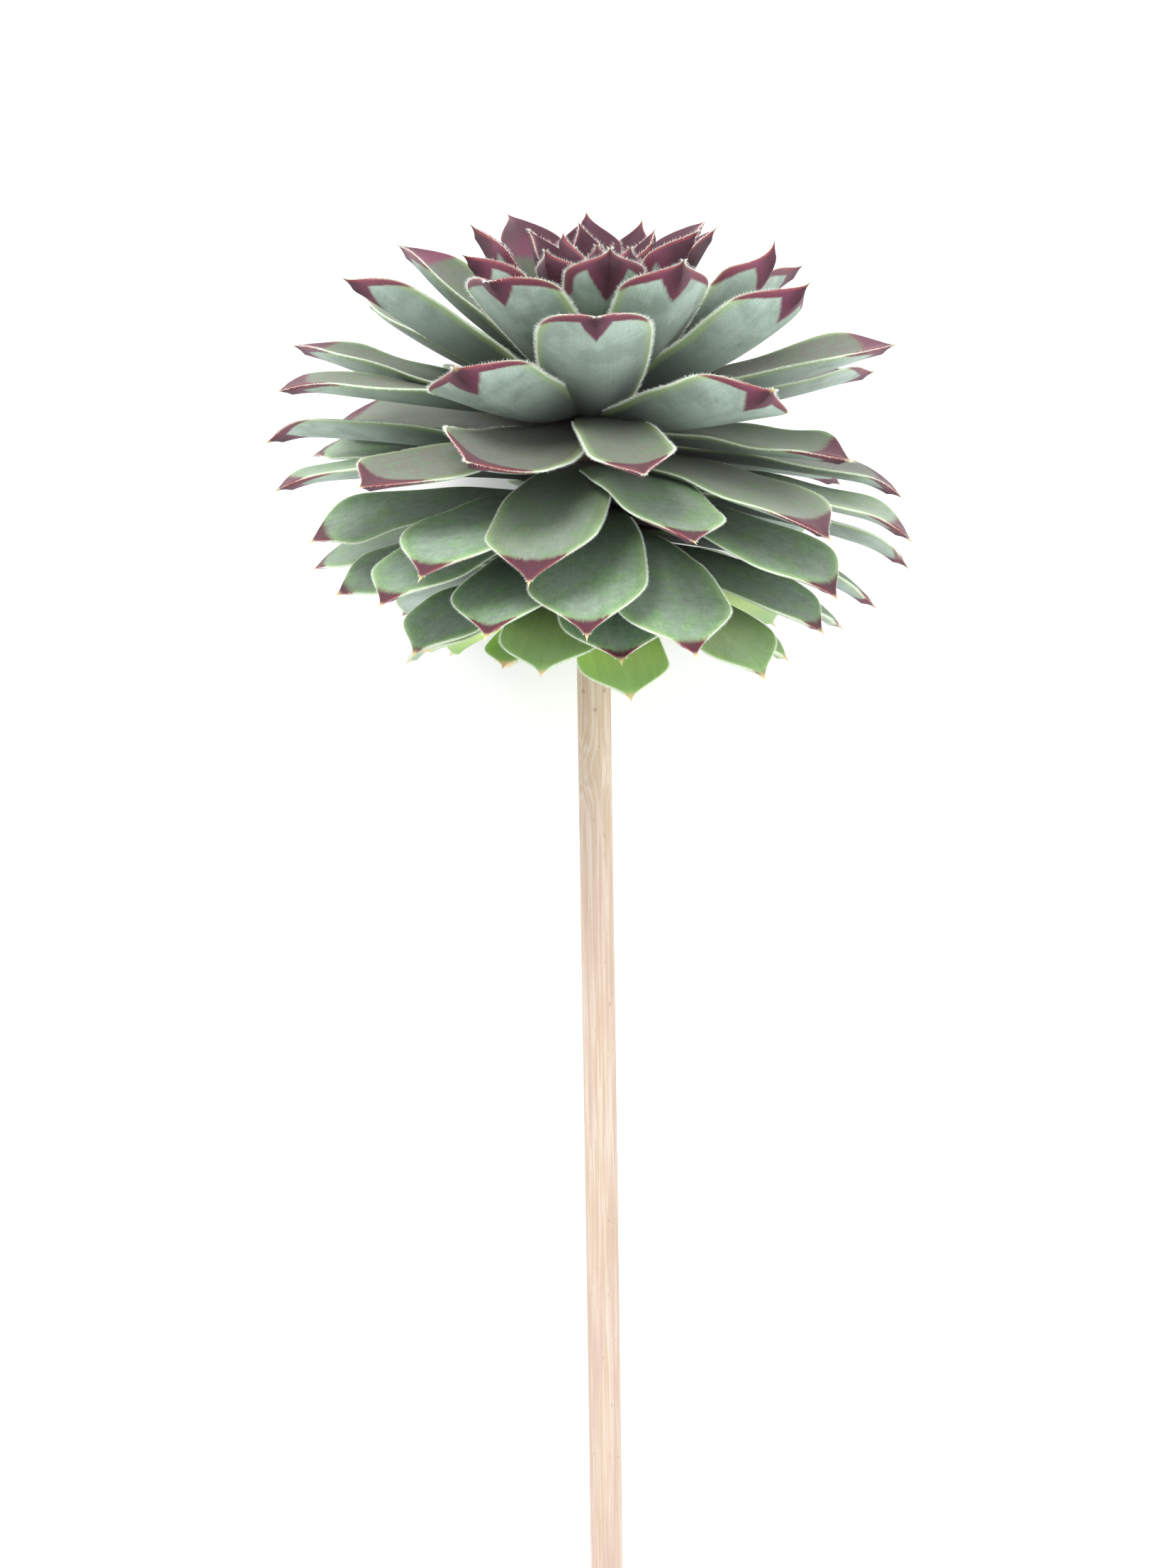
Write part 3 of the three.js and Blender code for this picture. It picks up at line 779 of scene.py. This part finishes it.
class Blade:
    """A leaf's surface as a formula: it gives the point at a place on the leaf."""

    STEPS = 24
    STATIONS = np.array([0.0, 0.2, 0.42, 0.7, 0.8, 0.86, 0.91, 0.955, 1.0])
    ROOT_WIDTH = 0.42
    ROOT_SWELL = 0.7
    WIDEST_AT = 0.7
    TIP_TAPER = 3
    RIM = 0.6
    THIN_FROM = 0.35
    ABOVE = 0.25
    CUP_FULL_AT = 0.4
    HOOK_FROM = 0.74
    WAVE = 0.28

    def __init__(self, rule: LeafRule) -> None:
        """Works out the leaf's middle line.

        Args:
            rule: The leaf's rule.
        """
        self.rule = rule
        azimuth = math.radians(rule.azimuth)
        outward = np.array([math.sin(azimuth), -math.cos(azimuth), 0.0])
        up = np.array([0.0, 0.0, 1.0])
        side = np.cross(up, outward)
        along = np.arange(self.STEPS + 1) / self.STEPS
        bend = rule.arch * (0.5 - along) - rule.hook * smoothstep(along, self.HOOK_FROM, 1.0)
        angle = np.radians(rule.rise + bend)[:, None]
        forward = outward * np.cos(angle) + up * np.sin(angle)
        roll = np.radians(rule.roll) * along[:, None]
        self.across = side * np.cos(roll) + np.cross(forward, side) * np.sin(roll)
        self.above = np.cross(forward, self.across)
        steps = forward[:-1] * rule.length / self.STEPS
        start = outward * rule.root_radius + up * rule.root_height + [rule.aside, 0.0, 0.0]
        self.points = start + np.vstack([np.zeros(3), np.cumsum(steps, axis=0)])

    def read(self, rows: Array, along: Array) -> Array:
        """Rows of the middle line, smoothly between its steps."""
        at = np.clip(along, 0.0, 1.0) * self.STEPS
        low = np.minimum(at.astype(int), self.STEPS - 1)
        share = (at - low)[:, None]
        before = rows[np.maximum(low - 1, 0)]
        here, then = rows[low], rows[low + 1]
        after = rows[np.minimum(low + 2, self.STEPS)]
        slope_in, slope_out = (then - before) / 2.0, (after - here) / 2.0
        square, cube = share**2, share**3
        start = (2 * cube - 3 * square + 1) * here + (cube - 2 * square + share) * slope_in
        return start + (3 * square - 2 * cube) * then + (cube - square) * slope_out

    def beside(self, along: Array, half: Array, height: Array) -> Array:
        """Points at a distance across and above the middle line."""
        line = self.read(self.points, along) + self.read(self.across, along) * half[:, None]
        return line + self.read(self.above, along) * height[:, None]

    def outline(self, along: Array) -> Array:
        """Half a leaf's width as a share of its widest."""
        rising = np.clip(along / self.WIDEST_AT, 0.0, 1.0)
        swell = np.sin(math.pi / 2 * rising) ** self.ROOT_SWELL
        before = self.ROOT_WIDTH + (1 - self.ROOT_WIDTH) * swell
        past = np.clip((along - self.WIDEST_AT) / (1 - self.WIDEST_AT), 0.0, 1.0)
        taper = (1 - past**self.rule.shoulders) ** self.TIP_TAPER
        return np.where(along < self.WIDEST_AT, before, taper)

    def half_width(self, along: Array) -> Array:
        """Half the leaf's width, in millimetres."""
        return self.outline(along) * self.rule.width / 2.0

    def thickness(self, along: Array) -> Array:
        """The leaf's thickness at its middle, in millimetres."""
        thin = np.maximum(0.0, along - self.THIN_FROM) ** 1.2
        return self.rule.thickness + (self.RIM - self.rule.thickness) * thin

    def cup(self, along: Array) -> Array:
        """How far the margins stand above the middle, in millimetres."""
        return self.rule.cup * self.outline(along) * smoothstep(along, 0.0, self.CUP_FULL_AT)

    def coarse(self, along: Array, sideways: Array, facing: Array) -> Array:
        """Corners of the leaf's plain solid."""
        share = np.where(facing > 0, self.ABOVE, 1 - self.ABOVE)
        flesh = np.where(sideways == 0, share * self.thickness(along), self.RIM / 2)
        height = self.cup(along) * sideways**2 + facing * flesh
        half = sideways * self.half_width(along)
        tip = along >= 1.0
        return self.beside(along, np.where(tip, 0.0, half), np.where(tip, 0.0, height))

    def wave(self, along: Array, sideways: Array) -> Array:
        """How much the leaf's margin waves up and down, in millimetres."""
        n = self.rule.number
        size = self.WAVE * float(smoothstep(n, 20, 45)) * smoothstep(along, 0.2, 0.5)
        left = np.sin(along * (13 + 4 * draw(n, 11)) + 6 * draw(n, 12))
        right = np.sin(along * (13 + 4 * draw(n, 13)) + 6 * draw(n, 14))
        return size * np.abs(sideways) ** 2.5 * np.where(sideways > 0, left, right)

    def surface(self, along: Array, turn: Array) -> Array:
        """Points on the leaf's skin.

        Args:
            along: Place from the root, 0, to the tip, 1.
            turn: Place round the section, in radians: 0 and pi are the margins, and the upper
                face lies between them.

        Returns:
            The points, in the plant's frame.
        """
        sideways, rounding = np.cos(turn), np.abs(np.sin(turn))
        span = np.abs(sideways)
        outline = self.outline(along)
        fade = np.minimum(1.0, outline / 0.2)
        rim = self.RIM / 2 * (1 - (1 - rounding) ** 3) * fade
        full = self.thickness(along) * fade
        upper = rim + (self.ABOVE * full - rim) * (1 - span**1.5)
        keel = 1.25 - 0.2 * smoothstep(along, 0.5, 0.9)
        lower = rim + ((1 - self.ABOVE) * full - rim) * (1 - span**keel)
        height = np.where(np.sin(turn) >= 0, upper, -lower)
        height = height + self.cup(along) * span**1.6 + self.wave(along, sideways) * outline
        return self.beside(along, sideways * self.half_width(along), height)


@dataclass
class LeafMaker:
    """Makes the mesh of a leaf and of the fringe of hairs along its margins.

    A hair's lean and lift are a mean and a spread. Its length and radius, and the bald end of the
    leaf, are given for the young leaves and for the old ones, in millimetres.
    """

    laid: LaidDown
    skin: Material
    hair: Material
    round_section: int = 40
    along_leaf: int = 44
    crowded_tip: float = 1.2
    curved_margin: float = 1.08
    hair_spacing: float = 0.1
    hair_scatter: float = 0.3
    hair_lean: Pair = (0.3, 0.2)
    hair_lift: Pair = (0.1, 0.35)
    hair_shares: Pair = (0.65, 1.1)
    hair_ages: Pair = (36, 62)
    hair_length: Pair = (0.64, 0.34)
    hair_radius: Pair = (0.04, 0.03)
    bald_tip: Pair = (1.0, 1.8)
    hair_from: float = 0.16
    hair_root: float = 0.06
    hair_above_floor: float = 0.15
    draws_from: int = 1000

    def make(self, rule: LeafRule, name: str) -> Thing:
        """Makes one leaf with its fringe.

        Args:
            rule: The leaf's rule.
            name: The piece's name.

        Returns:
            The leaf, in place in the row frame.
        """
        blade = Blade(rule)
        leaf = self.body(blade, name)
        join([leaf, self.fringe(blade, f"{name}_fringe")])
        return leaf

    def body(self, blade: Blade, name: str) -> Thing:
        """A closed ball drawn out into the leaf: its lower pole is the root, its upper the tip."""
        leaf, turn, climb = ball(name, self.round_section, self.along_leaf)
        pole = (climb < 0.001) | (climb > 0.999)
        turn[pole] = math.pi / 2
        first = 1.0 / self.along_leaf
        reach = np.clip((climb - first) / (1.0 - first), 0.0, 1.0)
        along = 1.0 - (1.0 - reach) ** self.crowded_tip
        points = blade.surface(along, turn)
        sideways = np.where(pole, 0.0, np.cos(turn))
        write_points(leaf.data, self.laid.place(points))
        bpy.ops.object.shade_smooth()
        self.label(leaf.data, blade, along, sideways, np.where(pole, 0.0, np.sin(turn)))
        leaf.data.materials.append(self.skin)
        return leaf

    def label(self, mesh: Mesh, blade: Blade, along: Array, sideways: Array,
              face: Array) -> None:
        """Writes what the leaf's finish reads: where each vertex is, and the leaf's age."""
        rule = blade.rule
        half = blade.half_width(along)
        apart = np.full_like(along, rule.number * 10.0)
        place = np.column_stack([sideways * half, (1.0 - along) * rule.length, apart])
        values = {
            "edge": (1.0 - np.abs(sideways)) * half,
            "side": np.abs(sideways),
            "along": along,
            "age": rule.number / 100.0,
            "tint": 0.5 + 0.5 * draw(rule.number, 21),
            "stain": rule.stain,
            "face": face,
        }
        for name, value in values.items():
            data = mesh.attributes.new(f"leaf_{name}", "FLOAT", "POINT").data
            data.foreach_set("value", np.full_like(along, value, dtype=np.float32))
        vector = mesh.attributes.new("leaf_place", "FLOAT_VECTOR", "POINT")
        vector.data.foreach_set("vector", place.astype(np.float32).ravel())

    def fringe(self, blade: Blade, name: str) -> Thing:
        """The hairs along both margins: one thin cone, copied at close spacing.

        Args:
            blade: The leaf that carries them.
            name: The piece's name.

        Returns:
            The hairs as one object.
        """
        deselect_all()
        bpy.ops.mesh.primitive_cone_add(vertices=3, radius1=1.0, depth=1.0, location=(0, 0, 0.5))
        cone = bpy.context.active_object
        bpy.ops.object.transform_apply(location=True)
        spike = read_points(cone.data)
        faces = [tuple(p.vertices) for p in cone.data.polygons]
        bpy.data.objects.remove(cone)
        radius = self.aged(self.hair_radius, blade)
        base, aim, long = self.hairs(blade)
        helper = np.where(np.abs(aim[:, 2:]) < 0.9, [[0.0, 0.0, 1.0]], [[1.0, 0.0, 0.0]])
        one = unit(np.cross(aim, helper))
        other = np.cross(aim, one)
        points = (base[:, None, :]
                  + one[:, None, :] * spike[None, :, :1] * radius
                  + other[:, None, :] * spike[None, :, 1:2] * radius
                  + aim[:, None, :] * spike[None, :, 2:] * long[:, None, None])
        steps = np.arange(len(base)) * len(spike)
        all_faces = [tuple(v + int(step) for v in face) for step in steps for face in faces]
        mesh = bpy.data.meshes.new(name)
        mesh.from_pydata(self.laid.place(points.reshape(-1, 3)).tolist(), [], all_faces)
        mesh.materials.append(self.hair)
        return add(name, mesh)

    def aged(self, values: Pair, blade: Blade) -> float:
        """A value for a leaf's age, from those for the young leaves and for the old ones."""
        share = float(smoothstep(blade.rule.number, *self.hair_ages))
        return values[0] + (values[1] - values[0]) * share

    def hairs(self, blade: Blade) -> tuple[Array, Array, Array]:
        """Draws the hairs, and leaves out those that would touch the floor.

        Args:
            blade: The leaf that carries them.

        Returns:
            The hairs' roots, directions and lengths, in millimetres.
        """
        rule = blade.rule
        rng = np.random.default_rng(self.draws_from + rule.number)
        margin = rule.length * (1 - self.hair_from) * self.curved_margin
        count = int(margin / self.hair_spacing)
        longest = self.aged(self.hair_length, blade)
        bald_tip = self.aged(self.bald_tip, blade)
        spans = []
        for sign in (-1.0, 1.0):
            along = self.hair_from + (1 - self.hair_from) * (np.arange(count) + 0.5) / count
            along = along + rng.normal(0, self.hair_scatter, count) / count
            along = np.clip(along, 0.0, 1 - bald_tip / rule.length)
            turn = np.zeros(count) if sign > 0 else np.full(count, math.pi)
            base = blade.surface(along, turn)
            ahead = unit(blade.surface(np.clip(along + 0.01, 0, 1), turn) - base)
            above = blade.read(blade.above, along)
            out = unit(np.cross(above, ahead) * sign)
            lean = rng.normal(*self.hair_lean, count)[:, None]
            lift = rng.normal(*self.hair_lift, count)[:, None]
            aim = unit(out + ahead * lean + above * lift)
            long = longest * rng.uniform(*self.hair_shares, count)
            spans.append((base - aim * self.hair_root, aim, long + self.hair_root))
        base, aim, long = (np.concatenate(parts) for parts in zip(*spans))
        clear = self.laid.heights(base + aim * long[:, None]) > self.hair_above_floor
        return base[clear], aim[clear], long[clear]


@dataclass
class Rosette:
    """All the leaves, from the growing tip to the foot, and the stem that carries them."""

    TIP = ((0, 39.8), (4.2, 39.8), (3.8, 43), (2.5, 46.7), (0, 49))
    STEM = ((0, 0.5), (4.4, 0.5), (5.7, 3.5), (6.3, 8.5), (6.3, 30.5), (5.4, 35.5), (4.1, 39.5),
            (0, 39.5))
    DARK_FROM = 45
    WITHERED = LeafRule(
        number=110, azimuth=6.0, aside=0.0, root_radius=5.0, root_height=5.5, length=9.5,
        width=3.8, shoulders=3.0, thickness=0.8, rise=-62.0, arch=10.0, cup=0.3, hook=-10.0,
        roll=8.0, stain=0.2)

    laid: LaidDown
    maker: LeafMaker
    order: Phyllotaxis
    stem_skin: Material

    def build(self) -> list[Thing]:
        """Makes every leaf, and joins the heart's and the oldest ones as the solids are joined.

        Returns:
            The finished pieces.
        """
        pieces = []
        groups: dict[Part, list[Thing]] = {Part.HEART: [], Part.OLD: []}
        for number in range(self.order.leaves):
            part = self.order.part(number)
            leaf = self.maker.make(self.order.rule(number), f"fleshy_leaf_{number}")
            if part is Part.GROWN:
                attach(leaf, ROOT)
                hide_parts(f"leaf_{number}")
                pieces.append(leaf)
            else:
                groups[part].append(leaf)
        groups[Part.OLD].append(self.maker.make(self.WITHERED, "withered_leaf"))
        growing_tip = Turned(self.laid, "growing_tip", self.TIP, self.stem_skin, rings=24,
                             aside=self.order.heart_aside).build()
        stem = Turned(self.laid, "short_stem", self.STEM, self.stem_skin, relief=0.02).build()
        heart = self.joined(groups[Part.HEART] + [growing_tip], "heart_leaves")
        old = self.joined(groups[Part.OLD] + [stem], "oldest_leaves")
        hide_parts("heart_of_young_leaves")
        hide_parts("stem_with_old_leaves")
        return pieces + [heart, old]

    def joined(self, leaves: list[Thing], name: str) -> Thing:
        """Several leaves as one piece."""
        join(leaves)
        leaves[0].name = leaves[0].data.name = name
        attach(leaves[0], ROOT)
        return leaves[0]


# ---- stem and stick


@dataclass
class Turned:
    """A round body about the plant's axis, such as the stem, the growing tip and the stick."""

    laid: LaidDown
    name: str
    profile: Curve
    material: Material
    sides: int = 48
    rings: int = 40
    relief: float = 0.0
    aside: float = 0.0
    knot_height: float | None = None
    knot_reach: float = 4.0
    sharp_edge: float = math.radians(40)

    def build(self) -> Thing:
        """Draws a closed ball out along the profile, given as (radius, height) pairs."""
        body, turn, climb = ball(self.name, self.sides, self.rings)
        radii, heights = np.array(self.profile).T
        lengths = np.hypot(np.diff(radii), np.diff(heights))
        at = np.concatenate([[0.0], np.cumsum(lengths)]) / lengths.sum()
        radius = np.interp(climb, at, radii)
        height = np.interp(climb, at, heights)
        ridges = np.sin(turn * 9 + 2 * np.sin(height * 0.05))
        ridges = ridges + 0.6 * np.sin(turn * 23 + height * 0.02)
        radius = radius * (1 + self.relief * ridges)
        across, back = radius * np.cos(turn) + self.aside, radius * np.sin(turn)
        points = np.column_stack([across, back, height])
        grain = points.copy()
        if self.knot_height is not None:
            swirl = np.exp(-(((height - self.knot_height) / self.knot_reach) ** 2))
            grain[:, 0] *= 1.0 - 0.7 * swirl
            grain[:, 0] += 0.5 * swirl
        place = body.data.attributes.new("wood_place", "FLOAT_VECTOR", "POINT")
        place.data.foreach_set("vector", grain.astype(np.float32).ravel())
        write_points(body.data, self.laid.place(points))
        bpy.ops.object.shade_smooth_by_angle(angle=self.sharp_edge)
        body.data.materials.append(self.material)
        return body


@dataclass
class Stick:
    """The round wooden stick, with its upper end hidden in the stem."""

    laid: LaidDown
    wood: Material
    chamfer: float = 0.2
    point_from: float = 21.0
    top: float = 26.0
    point_radius: float = 0.8
    relief: float = 0.006
    knot_height: float = -19.0

    def build(self) -> Thing:
        """Makes the stick in place of its solid."""
        radius, end = self.laid.stick_radius, -self.laid.stick_below_foot
        profile = ((0, end), (radius - self.chamfer, end), (radius, end + self.chamfer),
                   (radius, self.point_from), (self.point_radius, self.top), (0, self.top))
        stick = Turned(self.laid, "wooden_stick", profile, self.wood, sides=64, rings=300,
                       relief=self.relief, knot_height=self.knot_height).build()
        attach(stick, ROOT)
        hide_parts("stick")
        return stick


# ---- studio


@dataclass(frozen=True)
class Lamp:
    """A soft square lamp: where it hangs, how strong it is and how large."""

    name: str
    place: Point
    watts: float
    size: float


@dataclass
class Studio:
    """A pale floor, soft lights and the camera that looks down on the plant."""

    MAIN = Lamp("main_lamp", (-0.25, 0.75, 0.5), 9.0, 0.5)
    SIDE = Lamp("side_lamp", (0.6, 0.1, 0.6), 3.0, 0.6)

    laid: LaidDown
    floor_size: float = 6.0
    floor_shade: Colour = (0.95, 0.95, 0.95, 1.0)
    sky_shade: Colour = (1.0, 1.0, 1.0, 1.0)
    sky_strength: float = 1.1
    aim_above_foot: float = 0.03
    film_height: float = 36.0
    distance: float = 0.5
    field_height: float = 0.2328
    view_rise: float = math.radians(10.0)
    lean: float = math.radians(-0.87)
    aim_right: float = 0.79
    aim_up: float = 21.3

    def floor(self) -> None:
        """A wide pale floor."""
        deselect_all()
        bpy.ops.mesh.primitive_plane_add(size=self.floor_size, location=(0, 0, 0))
        floor = bpy.context.active_object
        floor.name = "pale_floor"
        s = Shader("pale_floor")
        s.dress({"Base Color": self.floor_shade, "Roughness": 0.8})
        floor.data.materials.append(s.material)

    def hang(self, lamp: Lamp) -> None:
        """Puts up a lamp and points it at the rosette."""
        light = bpy.data.lights.new(lamp.name, "AREA")
        light.energy = lamp.watts
        light.size = lamp.size
        hung = add(lamp.name, light)
        hung.location = lamp.place
        target = self.laid.foot + Vector((0.0, self.aim_above_foot, 0.0))
        aim = target - Vector(lamp.place)
        hung.rotation_euler = aim.to_track_quat("-Z", "Y").to_euler()

    def lights(self) -> None:
        """A bright even sky, a main lamp beyond the crown and a weaker one at the right."""
        world = bpy.data.worlds.new("bright_room")
        world.use_nodes = True
        sky = world.node_tree.nodes["Background"]
        sky.inputs["Color"].default_value = self.sky_shade
        sky.inputs["Strength"].default_value = self.sky_strength
        bpy.context.scene.world = world
        self.hang(self.MAIN)
        self.hang(self.SIDE)

    def camera(self) -> None:
        """The camera faces the plant's front, from a little above its widest leaves."""
        down = self.view_rise - self.laid.tilt
        toward = Vector((0.0, math.sin(down), math.cos(down)))
        crown = Vector((0.0, math.cos(down), -math.sin(down)))
        level = Vector((1.0, 0.0, 0.0))
        right = level * math.cos(self.lean) + crown * math.sin(self.lean)
        up = crown * math.cos(self.lean) - level * math.sin(self.lean)
        place = (self.laid.foot - right * self.aim_right * MM - up * self.aim_up * MM
                 + toward * self.distance)
        data = bpy.data.cameras.new("camera")
        data.sensor_fit = "VERTICAL"
        data.sensor_height = self.film_height
        data.lens = data.sensor_height * self.distance / self.field_height
        data.clip_start = 0.01
        camera = add("camera", data)
        turn = Matrix((right, up, toward)).transposed().to_4x4()
        turn.translation = place
        camera.matrix_world = turn
        bpy.context.scene.camera = camera

    def build(self) -> None:
        """Sets up the whole studio."""
        bpy.context.scene.view_settings.view_transform = "Standard"
        self.floor()
        self.lights()
        self.camera()


# ---- the whole plant


def main() -> None:
    """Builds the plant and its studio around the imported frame."""
    logging.basicConfig(level=logging.INFO, format="%(name)s: %(message)s")
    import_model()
    deselect_all()
    laid = LaidDown()
    Studio(laid).build()
    maker = LeafMaker(laid, LeafFinish().material(), HairFinish().material())
    wood = StickFinish().material()
    rosette = Rosette(laid, maker, Phyllotaxis(laid), StemFinish().material())
    for piece in rosette.build() + [Stick(laid, wood).build()]:
        LOG.info("%s: %d faces", piece.name, len(piece.data.polygons))


if __name__ == "__main__":
    main()
